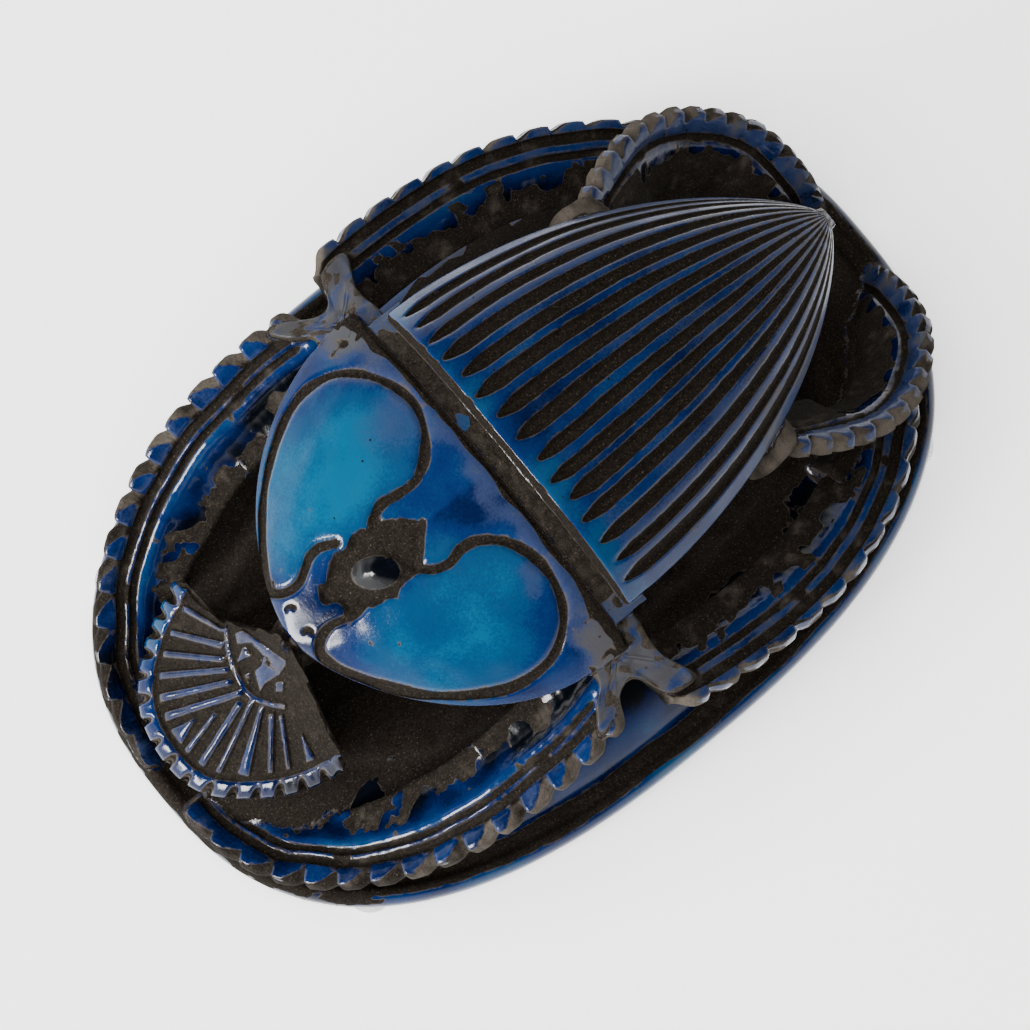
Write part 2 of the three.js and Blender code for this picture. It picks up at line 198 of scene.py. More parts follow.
def baseShape():
    # ovals of the form |x/a|^n + |y/b|^n = 1, one for each inset of the profile, raised to its height
    insets = range(37, base["moundTo"] + 1, base["moundStep"])
    profile = np.array(base["profile"] + [(inset, base["moundZ"]) for inset in insets])
    angle = np.linspace(0, 2 * math.pi, base["around"], endpoint=False)
    power = 2 / base["squareness"]
    inset = profile[:, 0][:, None]
    c, s = np.cos(angle)[None], np.sin(angle)[None]
    x = (base["halfLength"] - inset) * np.sign(c) * np.abs(c) ** power
    y = (base["halfWidth"] - inset) * np.sign(s) * np.abs(s) ** power
    rings = grid(x, y, profile[:, 1][:, None])
    upper = np.arange(len(profile))[:, None] > 1
    top = upper & (inset >= base["moundFrom"])
    rough = waves(rings * (0.5, 1.7, 1), 7, 11) * 0.55 + waves(rings * (0.35, 1.8, 1), 2.6, 12) * 0.3
    z = rings[..., 2] + np.where(top, rough * smoothStep(base["moundFrom"], 28, inset), 0)
    rear = smoothStep(base["moundEnd"] + 4, base["moundEnd"] - 4, x + 2.5 * waves(rings, 12, 13))
    z = np.where(top, mix(z, base["endZ"] + 0.3 * rough, rear), z)
    z += np.where(upper & (inset < base["moundFrom"]), 0.16 * waves(rings, 14, 14) * smoothStep(2, 3, z), 0)
    ragged = waves(rings * (0.5, 1.2, 1), 7, 15) * 1.5 + waves(rings, 2.2, 16) * 0.6
    groove = base["grooveHalf"] - np.abs(inset - base["grooveAt"]) + 0.15 * ragged
    shaded = 5.5 * smoothStep(5, -10, y)  # less glaze on the beetle's right
    mound = (inset - base["glazedTo"] + shaded) * 0.8 + ragged * 1.3
    front = np.where(inset > 6, (x - 58) * 0.25 + ragged * 1.6, -5)
    tail = np.where(inset > 6, (-x - 50) * 0.35 + ragged, -5)
    under = np.where(z < 2.6, 2.0, -5.0)
    streaks = 2.2 * smoothStep(0.9, 1.5, waves(rings * (0.5, 0.8, 1), 12, 19))
    streaks = streaks * smoothStep(10, 26, x) * smoothStep(0, 16, y)
    frontRim = np.where(inset < 6, (x - 70) * 0.2 + ragged - 4 * smoothStep(0.8, 0, inset), -5)
    parts = [groove + 0 * x, mound - streaks * 2.2, front - streaks * 1.5, frontRim, tail, under]
    bare = np.maximum.reduce(parts)
    end = smoothStep(60, 86, np.abs(x))
    rings[..., 2] = z
    rim = inset < 3
    tone = np.where(rim, 0.5 - 0.7 * end, 0.34 - 0.75 * smoothStep(11, 18, inset))
    tone = tone + 0.22 * waves(rings, 16, 17)
    tone -= 0.3 * np.clip(waves(rings * (0.4, 1.6, 1), 3, 20), 0, 2) * (inset > 6)
    # the rim's film is partly grey bloom of thin glaze and partly painted sheen, more on the lower rim wall
    # and at the ends
    filmAndSheen = np.where(rim, 0.5 * (1 - smoothStep(3, 7.6, z)) + 0.25 * end, 0.1)
    return loft("base", rings, bare, tone, filmAndSheen, 0.12 + 0.12 * waves(rings, 9, 18))


back = {
    "frontX": 2.0, "tailX": -77.0, "topZ": 88.0, "edgeZ": 74.0, "halfWidth": 35.0, "bellyZ": 64.0,
    "topFall": 29.0, "edgeFall": 20.0, "tailZ": 52.0, "arch": 3.7,
    "grooves": 15, "spacing": 5.0, "grooveDepth": 1.5, "grooveShare": 0.29,
    "grooveStart": 2.0, "grooveTaper": 4.5,
    "stations": 112, "columnsPerGroove": 10,
}


def backShape():
    # arch across the back: edge height plus rise times (1 - |v|^arch), its grooves evenly spaced along it;
    # v = u (1.142 - 0.142 |u|^2.7) turns a share of the arch's length into a share of its half width
    k = np.linspace(0, 1, back["stations"])
    t = np.where(k == 1, 1.0, 0.995 * k ** 0.95)[:, None]
    x = mix(back["frontX"], back["tailX"], t)
    narrow = np.maximum(0.06, (1 - np.clip(t, 0, 1) ** 2) ** 0.75)
    half = back["halfWidth"] * narrow
    topZ = back["topZ"] - back["topFall"] * t ** 2 - 4 * t ** 10
    edgeZ = back["edgeZ"] - back["edgeFall"] * t ** 1.3
    floorZ = np.minimum(edgeZ - 2.6, mix(back["bellyZ"], back["tailZ"], t ** 2))
    units = back["grooves"] + 1
    columns = back["columnsPerGroove"] * units
    u = np.linspace(-1, 1, columns + 1)[None]
    v = u * (1.142 - 0.142 * np.abs(u) ** 2.7)
    place = (u + 1) / 2 * units
    number = np.clip(np.round(place), 1, units - 1)
    spacing = back["spacing"] * narrow
    fromFront = back["frontX"] - x
    start = back["grooveStart"] + 0.7 * scatter(number, 3.1)
    run = fromFront - start
    taper = np.sqrt(np.clip(run / back["grooveTaper"], 0, 1))
    shape = back["grooveShare"] * (1 + 0.14 * scatter(number, 7.7)) * spacing
    flat = grid(x, half * v, 0.0)
    lane = flat * (1, 0, 1) + (0, 1, 0) * number[..., None] * 9
    centre = number + 0.06 * scatter(number, 1.3) + 0.05 * waves(lane, 30, 26)
    away = np.abs(place - centre) * spacing
    nicks = 0.045 * waves(flat, 4.4, 27) + 0.3 * np.clip(waves(flat, 9, 28) - 1.5, 0, 1)
    into = shape * taper - away + nicks * smoothStep(0.3, 2.5, run) * narrow ** 0.5
    into = np.where(run < 0, np.minimum(into, run), into)
    cut = smoothStep(-0.15, 0.75, into)
    z = mix(edgeZ, topZ, 1 - np.abs(v) ** back["arch"])
    z = z - np.minimum(back["grooveDepth"], 0.3 * spacing) * cut
    z = z - 0.3 * (1 - smoothStep(0, 0.8, fromFront))
    top = grid(x, half * v, z)
    inner = half * 0.9
    sides = [
        (half * 1.0, edgeZ - 0.5), (half * 1.0, edgeZ - 1.5), (half - 0.3 * narrow, edgeZ - 2.2),
        (half * 0.94, edgeZ - 2.5), (inner, edgeZ - 2.7), (inner * 0.96, mix(edgeZ - 2.6, floorZ, 0.4)),
        (inner * 0.86, floorZ), (inner * 0.6, floorZ + 0.3), (inner * 0.3, floorZ + 0.6)]
    rings = np.concatenate([top] + underside(x, sides), axis=1)
    under = bothSides([-0.6, -0.2, 0.3, 0.5, -0.5, 1.3, 1.5, 1.5, 1.5])
    ragged = waves(rings, 6, 21)
    bare = np.concatenate([into, under + 0 * x], axis=1)
    bare[:, columns + 1:] += 0.6 * ragged[:, columns + 1:]
    bare = np.maximum(bare, 0.6 - 2.4 * fromFront)
    rings[..., 2] += 0.3 * waves(rings, 26, 22) * smoothStep(0, 8, fromFront)
    rings[:, columns + 1:, 2] += 0.45 * waves(rings, 7, 23)[:, columns + 1:] * (under > 1)
    below = (np.arange(rings.shape[1]) > columns)[None]
    side = np.abs(rings[..., 1]) / back["halfWidth"]
    tip = 1 - smoothStep(2, 7, fromFront)
    # painted shade: the glaze on the underside (below) is turned near black
    tone = 0.28 + 0.2 * tip + 0.2 * waves(rings, 18, 24) - 0.75 * below
    # painted sheen: the grey-lavender film grows towards the steep sides, where the glaze would mirror the
    # pale walls; it also grows towards the tail
    filmAndSheen = mix(0.3, 0.72, smoothStep(0.3, 0.75, side)) - 0.75 * tip
    filmAndSheen = filmAndSheen + 0.15 * waves(rings, 12, 25) + 0.25 * smoothStep(20, 60, fromFront)
    filmAndSheen = np.where(below, 0.1, filmAndSheen)
    return loft("back", rings, bare, tone, filmAndSheen, 0.12)


plate = {
    "rearX": 6.0, "neckX": 53.0, "halfWidth": 40.5, "thickness": 11.0,
    "spineZ": 83.0, "rimZ": 68.0, "rimFall": 8.0, "neckShift": -1.2,
    "lineHalf": 0.85, "lineDepth": 1.0, "eyeDepth": 1.3, "crescentRadius": 0.9, "crescentDepth": 0.3,
    "stations": 90, "columns": 124,
}


def plateHalf(x):
    # half width times (1 - t^2.2)^0.65 for the share t of the way from the rear to the neck
    t = np.clip((x - plate["rearX"]) / (plate["neckX"] - plate["rearX"]), 0, 1)
    return plate["halfWidth"] * (1 - t ** 2.2) ** 0.65


def plateMiddle(x):
    # the neck leans to the beetle's right
    return plate["neckShift"] * smoothStep(22, 50, x)


def plateTop(x, y):
    # rim height plus rise times (1 - |v|^2.4), v being the share of the half width, both falling to the neck
    t = np.clip((x - plate["rearX"]) / (plate["neckX"] - plate["rearX"]), 0, 1)
    spine = plate["spineZ"] - 12 * t ** 1.4 - 10 * t ** 3
    rim = plate["rimZ"] - plate["rimFall"] * t
    v = np.clip(np.abs(y - plateMiddle(x)) / np.maximum(plateHalf(x), 1), 0, 1)
    return mix(rim, spine, (1 - v ** 2.4) * (1 - 0.25 * t))


# incised lines of the shield plate in plan: the lobe on the beetle's right, the one on its left, the eye
rightLobe = [
    (28.7, -6.3), (25.5, -7.6), (21.5, -6.9), (17.5, -6.8), (13.5, -9.4), (10.6, -13.2), (9.2, -18.1),
    (10, -23.5), (12.7, -29.2), (17, -33.2), (22, -34.4), (27, -33.5), (32.6, -30.6), (37.5, -27),
    (42, -22.8), (46, -17.8), (49.4, -12.6), (50.4, -10.2), (48.4, -7.9), (45.5, -7.4), (43.2, -8.4),
    (41.4, -9.4), (38.8, -9.6), (35.9, -8)]
leftLobe = [
    (27.9, 5.5), (25.4, 7.9), (22.5, 8.8), (19.2, 8.2), (16.3, 9), (12.4, 12.6), (10.2, 18), (10.2, 24),
    (13, 29.8), (18, 33.2), (24, 33.4), (30.4, 31), (36.9, 26.4), (41.2, 22.2), (44.9, 17.4),
    (47.8, 12.6), (50, 8), (50.4, 4.6), (48.6, 2.8), (46, 2.4), (43.6, 3.2), (41.5, 4.1), (39, 3.6)]
eyeOutline = [
    (44.2, -3.3), (41.4, -4.4), (37.9, -6.7), (34.9, -6.1), (33.1, -7.1), (28.9, -5.8), (26.1, -4.5),
    (23.2, -2.3), (21.3, 0.1), (23.4, 2.6), (26.5, 5.5), (29.4, 6.2), (32.6, 6.3), (33.9, 7), (35.5, 6),
    (37.5, 5.6), (39, 4.1), (41.5, 3.9), (42.6, 2.3), (42.1, 0.8), (44.3, -1.3)]
eyeBoss = {"x": 33.7, "y": 1.0, "turn": -0.69, "halfLength": 5.4, "halfWidth": 3.5, "rise": 3.3}
crescents = [(49.9, -4.7, 3.1), (50.2, 0.7, 2.8)]


def plateShape():
    # the shield: stations from rear to neck, columns across, its lines cut by their distance in plan
    k = np.linspace(0, 1, plate["stations"])
    x = mix(plate["rearX"], plate["neckX"] - 0.4, np.sin(math.pi / 2 * k))[:, None]
    half = plateHalf(x)
    widest = math.pi / 2 * 0.94  # columns draw closer towards both sides
    v = np.sin(np.linspace(-1, 1, plate["columns"] + 1) * widest) / math.sin(widest)
    shift = plateMiddle(x)
    y = half * v[None] + shift
    plan = grid(x, y)
    lines = np.minimum.reduce([
        distanceTo(plan, curveThrough(rightLobe, 900)[0]), distanceTo(plan, curveThrough(leftLobe, 900)[0])])
    lineHalf = plate["lineHalf"] * (1 + 0.18 * waves(grid(x, y, 0.0), 9, 31))
    marks = lines
    for cx, cy, turn in crescents:
        arc = np.linspace(turn, turn + 2.1, 24)
        radius = plate["crescentRadius"]
        ring = grid(cx + radius * np.cos(arc), cy + radius * np.sin(arc))
        marks = np.minimum(marks, distanceTo(plan, ring) + 0.4)
    toEye = intoOutline(plan, eyeOutline, True)
    dx, dy = plan[..., 0] - eyeBoss["x"], y - eyeBoss["y"]
    c, n = math.cos(eyeBoss["turn"]), math.sin(eyeBoss["turn"])
    boss = 1 - np.hypot((dx * c + dy * n) / eyeBoss["halfLength"], (dy * c - dx * n) / eyeBoss["halfWidth"])
    dome = np.clip(1.04 - np.hypot(1 - boss, 0.28), 0, 1) ** 0.85
    z = plateTop(x, y)
    z = z - plate["lineDepth"] * (1 - smoothStep(0.5, 1.3, lines / lineHalf))
    z = z - plate["crescentDepth"] * (1 - smoothStep(0.5, 1.3, marks / lineHalf)) * (marks < lines)
    z = z - plate["eyeDepth"] * smoothStep(-0.3, 0.9, toEye) + eyeBoss["rise"] * dome
    fromRear = x - plate["rearX"]
    z = z - 0.5 * (1 - smoothStep(0, 2.0, fromRear))
    top = grid(x, y, z)
    lumpy = 0.1 * waves(top, 1.5, 38) * (boss > 0)
    top[..., 2] += 0.3 * waves(top, 24, 32) + 0.05 * waves(top, 5, 33) + lumpy
    rimZ = plateTop(x, half + shift)
    low = rimZ - plate["thickness"] * (0.4 + 0.6 * (half / plate["halfWidth"]))
    sides = [
        (half * 1.0, rimZ - 0.9), (half * 0.995, rimZ - 2), (half * 0.98, rimZ - 3),
        (half * 0.92, mix(rimZ - 3, low, 0.45)), (half * 0.8, low), (half * 0.5, low - 0.5),
        (half * 0.2, low - 0.8)]
    rings = np.concatenate([top] + underside(x, sides, shift), axis=1)
    count = plate["columns"] + 1
    ragged = waves(rings, 6, 34)
    fine = waves(rings, 2.2, 36)
    # the glaze stops in a soft edge before the recess, thinning to a grey bloom first
    rearEdge = 1.1 - fromRear + 0.5 * ragged + 1.2 * smoothStep(22, 34, np.abs(rings[..., 1]))
    bare = np.empty(rings.shape[:2])
    inEye = np.minimum(toEye + 0.25 * fine[:, :count], -boss * 4 + 0.5)
    bare[:, :count] = np.maximum(lineHalf - marks, inEye)
    bare[:, count:] = bothSides([-0.5, 0.3, 0.9, 1.5, 1.5, 1.5, 1.5]) + 0.5 * ragged[:, count:]
    px, py = rings[..., 0], rings[..., 1]
    atCorner = smoothStep(26, 38, np.abs(py)) * smoothStep(22, 10, px)
    speckled = 1.1 * atCorner - 1.6 + 0.6 * waves(rings, 3.5, 37) + 0.4 * fine
    bare = np.maximum.reduce([bare, rearEdge, speckled])
    inLobe = np.hypot((px - 30) / 22, (np.abs(py) - 18.5) / 15) - 0.1 * (py > 0)
    tone = 1.2 - 0.75 * smoothStep(0.35, 1.15, inLobe) + 0.12 * waves(rings, 13, 35)
    tone -= 0.25 * (py > 0) + 0.15 * smoothStep(36, 50, px)
    tone[:, :count] = np.where(boss > 0.0, -0.6, tone[:, :count])
    behind = px - plate["rearX"] + 2.2 * ragged - 0.12 * np.abs(py)
    bloom = (0.8 + 0.4 * atCorner) * (1 - smoothStep(0.5, 8.5, behind))
    # painted reflection: a lavender patch of film on the right lobe's slope
    patch = 0.7 * np.exp(-((px - 14) / 8) ** 2 - ((py + 18) / 8) ** 2)
    # painted highlight: a pale film along the plate's rim
    edge = 0.5 * (1 - smoothStep(0.6, 2.2, plateHalf(px) - np.abs(py - plateMiddle(px))))
    filmAndSheen = np.maximum.reduce([bloom, patch, edge, 0.12 + 0.1 * ragged])
    return loft("plate", rings, bare, tone, filmAndSheen, 0.22)


recess = {"drop": 0.8, "halfWidth": 36.0, "patch": (4.6, -9.6, 1.9)}


def recessShape():
    # the bare step between the plate and the back follows the arch of the plate's rear edge
    x = np.linspace(back["frontX"] - 4, plate["rearX"] + 1.6, 18)[:, None]
    y = recess["halfWidth"] * np.sin(math.pi / 2 * np.linspace(-1, 1, 97))[None]
    z = plateTop(np.array(plate["rearX"]), y) - recess["drop"]
    top = grid(x, y, z)
    under = smoothStep(plate["rearX"] - 0.2, plate["rearX"] + 1, x)
    top[..., 2] += 0.16 * waves(top, 9, 91) + 0.08 * waves(top, 2, 92) - 0.9 * under
    low = plateTop(np.array(plate["rearX"]), recess["halfWidth"]) - plate["thickness"]
    shares = [(0.995, 0.7), (0.97, 0.35), (0.9, 0.0), (0.45, 0.0)]
    sides = [(recess["halfWidth"] * a, mix(low, z[:, -1:], b)) for a, b in shares]
    rings = np.concatenate([top] + underside(x, sides), axis=1)
    cx, cy, radius = recess["patch"]
    patch = radius - np.hypot(rings[..., 0] - cx, (rings[..., 1] - cy) * 1.2) + 0.8 * waves(rings, 3, 93)
    edge = np.abs(rings[..., 1]) - 32 + 1.5 * waves(rings, 5, 94)
    bare = np.minimum(1.0, -np.maximum(patch, edge))
    return loft("recess", rings, bare, 0.8, np.where(edge > -2, 0.95, 0.6), 0.4)


head = {
    "x": 53.5, "y": -1.0, "z": 56.0, "slope": 0.85, "fall": 13.2, "fallOver": 5.0,
    "crown": 5.6, "crownAt": 3.0, "crownHalf": 25.0, "neckRadius": 1.5,
    "thickness": 5.5, "pinch": 0.13, "teeth": 17, "notchHalf": 0.95, "notchDepth": 2.3, "rim": 3.2,
    "barsEnd": 4.8, "barHeight": 0.95, "barCrown": 0.3,
    "stepsPerTooth": 13, "rows": 50,
}
# the fan's reach from the neck at angles in degrees from straight ahead, and its bars, each with its angle
# at the outer and inner end, its inner radius, and half its width at both ends
fanEdge = [(-74, 27), (-52, 29.4), (-27, 31.9), (-10, 32), (10, 31.2), (33, 27.5), (54, 25.4), (76, 24)]
fanBars = [
    (-63, -57.6, 14.6, 0.45, 0.4), (-52, -46.7, 14, 0.5, 0.65), (-43, -36, 13.7, 0.6, 0.55),
    (-34.3, -27.3, 13.1, 0.65, 0.6), (-25.5, -17.2, 13.2, 0.8, 0.6), (-17.7, -4.6, 12.5, 0.85, 0.6),
    (-8.5, -10, 22.5, 1.8, 0.15), (-1.1, -5.3, 18.6, 0.6, 0.4), (7, 1.3, 13.7, 0.75, 0.75),
    (15, 8.5, 12.1, 0.55, 0.5), (25.7, 19.3, 12.1, 1.15, 0.45), (38.2, 30.5, 12.4, 0.5, 0.55),
    (47.4, 39.4, 12.3, 0.4, 0.4), (59.5, 56.8, 15.9, 0.8, 0.1)]
fanArc = [(60.5, -12.8), (63.1, -8.7), (64.5, -4.3), (64.8, -0.1), (63.3, 3.3), (61.4, 6)]
fanPatches = [
    [(59.8, -10.5), (58.4, -9.8), (56, 1.1), (58.6, 1.3), (58.3, -2.5), (58.7, -6.9), (60.7, -8.9)],
    [(59.8, -7.8), (60.2, -5.3), (62.8, -6.6)], [(63.3, -3.9), (62.3, -3.4), (63.6, -2.1)],
    [(61.4, -2.8), (58.9, -2.4), (58.5, 1.1), (61.5, 0.3), (63, 0.7)],
    [(60.8, 2.8), (59.8, 1.6), (58.6, 2.8), (59.8, 3.9)]]


def headShape():
    # fan in polar form: angle across the head, radius from the neck to its toothed edge, its height falling
    # from the neck by fall (1 - e^(-x/fallOver)) + slope x, crowned across by crown (1 - (y/crownHalf)^2)
    first, last = fanEdge[0][0], fanEdge[-1][0]
    steps = head["teeth"] * head["stepsPerTooth"]
    degree = np.linspace(first, last, steps + 1)[:, None]
    edge = curveThrough(fanEdge, 200)[0]
    reach = np.interp(degree, edge[:, 0], edge[:, 1])
    share = np.linspace(0, 1, head["rows"])[None]
    r = mix(head["neckRadius"], reach, share)
    pinch = head["pinch"] * np.where(degree < 0, 1, 0.2)

    def place(r, inward=0.0):
        turned = np.radians(degree) * (1 - pinch * np.sin(math.pi * np.clip(r / reach, 0, 1)))
        along, y = (r - inward) * np.cos(turned), head["y"] + (r - inward) * np.sin(turned)
        fall = head["fall"] * (1 - np.exp(-np.maximum(along, 0) / head["fallOver"])) + head["slope"] * along
        crown = head["crown"] * (1 - ((y - head["crownAt"]) / head["crownHalf"]) ** 2)
        return grid(head["x"] + along, y, head["z"] - fall + crown)

    def fromNeck(radius, angle):
        return radius * np.array([math.cos(math.radians(angle)), math.sin(math.radians(angle))])

    plan = place(r)
    x, y = plan[..., 0], plan[..., 1]
    fromEdge = reach - r
    spread = (degree - first) / (last - first)
    tooth = head["teeth"] * spread * (1.22 - 0.22 * spread)  # closer together on the beetle's right
    pitch = np.radians((last - first) / head["teeth"]) * reach / (1.22 - 0.44 * spread)
    near = np.abs(tooth - np.round(tooth)) * pitch
    size = 1 + 0.15 * scatter(tooth, 5.5)
    notch = 1 - np.hypot(near / (head["notchHalf"] * size), fromEdge / (head["notchDepth"] * size))
    glazed = np.minimum(head["rim"] - fromEdge, -notch * 1.6)
    for outAngle, inAngle, inRadius, wideOut, wideIn in fanBars:
        outRadius = np.interp(outAngle, edge[:, 0], edge[:, 1]) - head["barsEnd"]
        a, b = fromNeck(inRadius, inAngle), fromNeck(outRadius, outAngle)
        run = (b - a) / np.linalg.norm(b - a)
        dx, dy = x - head["x"] - a[0], y - head["y"] - a[1]
        s = (dx * run[0] + dy * run[1]) / np.linalg.norm(b - a)
        off = np.abs(dy * run[0] - dx * run[1])
        ends = np.minimum(s, 1 - s) * np.linalg.norm(b - a) + 0.25
        glazed = np.maximum(glazed, np.minimum(mix(wideIn, wideOut, np.clip(s, 0, 1)) - off, ends))
    glazed = np.maximum(glazed, 0.38 - distanceTo(plan[..., :2], curveThrough(fanArc, 300)[0]))
    for corners in fanPatches:
        glazed = np.maximum(glazed, intoOutline(plan[..., :2], corners, False))
    relief = -head["barHeight"] * (1 - smoothStep(-0.35, 0.2, glazed))
    relief = relief + head["barCrown"] * smoothStep(0, 0.9, glazed)
    scoop = -1.3 * smoothStep(0, 0.7, notch)
    inward = 0.9 * smoothStep(0.0, 0.9, notch) * (1 - smoothStep(0, 2.4, fromEdge))
    top = place(r, inward)
    rounded = 0.6 * (1 - smoothStep(0, 0.8, fromEdge))
    top[..., 2] += relief + scoop - rounded + 0.1 * waves(top, 6, 41) + 0.06 * waves(top, 2, 45)
    thick = head["thickness"]
    notchBelow = 0.9 * smoothStep(0.0, 0.9, 1 - near / head["notchHalf"])
    lower = []
    flat = [(reach * 0.33, thick), (reach * 0.66, thick), (reach - head["neckRadius"], thick)]
    for inset, drop in [(0.0, 1.6), (0.1, 3.0), (0.6, 4.4)] + flat:
        under = place(reach - inset, notchBelow if drop < 3.5 else 0.0)
        under[..., 2] -= drop
        lower.append(under)
    rings = np.concatenate([top] + lower, axis=1)
    atSides = smoothStep(0.07, 0.0, np.minimum(spread, 1 - spread))
    rings[..., 1] += 0.7 * waves(rings, 4, 44) * atSides
    rings[..., 2] += 0.5 * waves(rings, 5, 46) * atSides
    bare = np.ones(rings.shape[:2])
    bare[:, :head["rows"]] = -glazed
    bare[:, head["rows"]] = np.where(near[:, 0] > 1.1, -0.2, 0.8)
    column = np.arange(rings.shape[1])[None]
    atNeck = column < 0.42 * head["rows"]
    atRim = smoothStep(0.86, 0.92, column / head["rows"])
    dust = np.where(column > head["rows"] - 4, 0.55, 0.2) * (1 + 0.4 * waves(rings, 4, 43))
    rimTone = 0.45 * smoothStep(-5, -50, degree) - 0.3 * smoothStep(10, 60, degree)
    tone = 0.12 + 0.15 * waves(rings, 12, 42) + atRim * rimTone
    return loft("head", rings, bare, tone, np.where(atNeck, 0.1, -0.3), dust)


legThick = 3.8  # of the band under every leg
# legs: points along the outer edge, then what the band's section needs, all in millimetres but for lean
frontLeg = {
    "points": [
        (13, 49.4, 62), (20, 50.6, 58.8), (28, 51.2, 54.4), (37, 51, 49.4), (46, 50, 44), (55, 47.8, 38),
        (64, 43.9, 32), (72, 38.7, 26.5), (78.5, 32.6, 21.5), (83.3, 26, 17.5), (86.2, 19, 14.5),
        (87.8, 12.5, 12.2), (88.2, 5, 10.5)],
    "width": 18.5, "lean": (20, 20), "pitch": 7.4, "scallop": 1.5, "facet": 2.0,
    "narrowFrom": 0.5, "narrowTo": 0.62, "seed": 68,
    "grooves": [(4.6, 1.0), (7.1, 0.8)], "stepsPerScallop": 12, "dish": 2.1,
    "glazedTo": 14.8, "landTone": 0.2, "landFilm": 0.3, "innerTone": (0.5, -0.1), "startBite": 3.0,
}
middleLeg = {
    "points": [
        (5, 55, 59.8), (-4, 56, 56), (-14, 56.6, 51.6), (-24, 56.4, 47.2), (-34, 55.4, 42.8),
        (-44, 53, 38.4), (-54, 49, 34), (-63, 43.6, 30), (-70, 38, 26.5), (-73.6, 34.6, 21),
        (-75.2, 33, 14), (-76, 32, 7.5)],
    "width": 16.0, "lean": (18, 18), "pitch": 7.6, "scallop": 1.1, "facet": 0.45,
    "narrowFrom": 0.6, "narrowTo": 0.75, "seed": 69,
    "grooves": [(3.1, 1.2), (6.5, 0.8)], "stepsPerScallop": 12, "dish": 1.0,
    "glazedTo": 9.4, "landTone": 0.35, "landFilm": 0.6, "innerTone": (0.45, -0.3), "startBite": 2.2,
}
hindLeg = {
    "points": [
        (-38, 27, 63), (-46, 32, 59.5), (-53.5, 35, 55), (-61, 36.5, 50.5), (-69, 35, 45),
        (-76, 31, 39.5), (-81.5, 25.5, 34), (-84.6, 18.5, 28), (-86.2, 12.5, 20.5), (-86.6, 8.5, 13),
        (-86.6, 6, 6.5)],
    "width": 17.0, "lean": (48, 20), "pitch": 5.2, "scallop": 0.9, "facet": 1.2,
    "narrowFrom": 0.6, "narrowTo": 0.6, "seed": 67,
    "grooves": [(5.2, 0.9)], "stepsPerScallop": 9, "dish": 0.5,
    "glazedTo": 7.5, "landTone": 0.0, "landFilm": 0.75, "innerTone": (0.0, -0.5), "startBite": 1.5,
}


